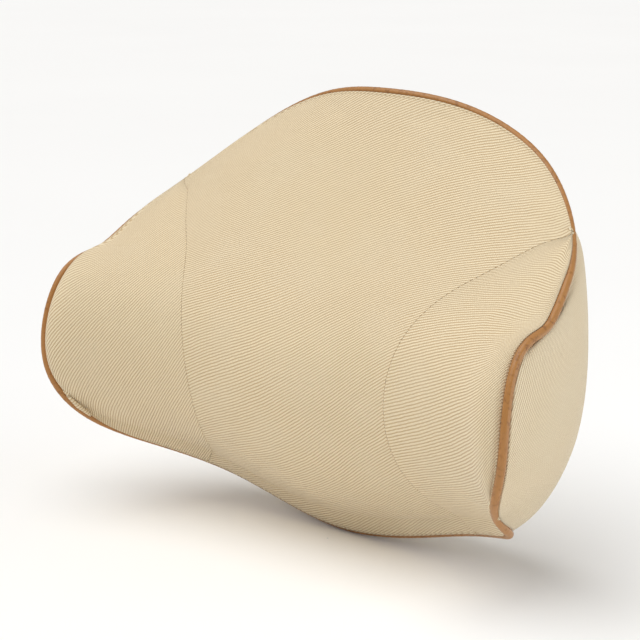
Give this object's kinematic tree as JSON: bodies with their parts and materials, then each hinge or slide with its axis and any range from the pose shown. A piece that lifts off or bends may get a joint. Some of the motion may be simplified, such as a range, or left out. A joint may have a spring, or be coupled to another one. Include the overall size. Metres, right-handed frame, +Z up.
{
  "type": "neck pillow",
  "caption": "U-shaped neck pillow with forward wings, a ribbed fabric cover over a moulded foam core, contrast piping and a zip in the flat back.",
  "frame": {"origin": "under the middle of the pillow, level with its lowest point", "axes": "+X to the pillow's right as seen from the neck side, the neck side faces -Y, +Z up"},
  "size_m": [0.294, 0.1119, 0.2128],
  "materials": {
    "twill": "fine ribbed weave, matt",
    "leatherette": "smooth, low sheen",
    "thread": "twisted thread",
    "foam": "open cell foam, matt",
    "liner": "fine knit",
    "cord": "twisted cotton cord",
    "tape": "woven tape",
    "teeth": "satin",
    "zip_metal": "satin"
  },
  "bodies": {
    "pillow": {"foam_core": "foam", "liner_front": "liner", "liner_back": "liner", "front_centre_panel": "twill", "left_wing_panel": "twill", "right_wing_panel": "twill", "back_panel": "twill", "piping_cover": "leatherette", "piping_filler": "cord", "left_seam_thread": "thread", "right_seam_thread": "thread", "zip_upper_tape": "tape", "zip_lower_tape": "tape", "zip_upper_teeth": "teeth", "zip_lower_teeth": "teeth", "zip_top_stops": "zip_metal", "zip_bottom_stop": "zip_metal", "zip_bar_tacks": "thread"},
    "slider": {"zip_slider": "zip_metal"},
    "pull": {"zip_pull": "zip_metal"}
  },
  "joints": [
    {"name": "zip_slide", "type": "slide", "parent": "pillow", "child": "slider", "axis": [1, 0, 0], "range_m": [-0.146, 0]},
    {"name": "pull_swing", "type": "hinge", "parent": "slider", "child": "pull", "pos_m": [0.0725, 0.05365, 0.092], "axis": [0, 0, -1], "range_deg": [0, 170]}
  ]
}
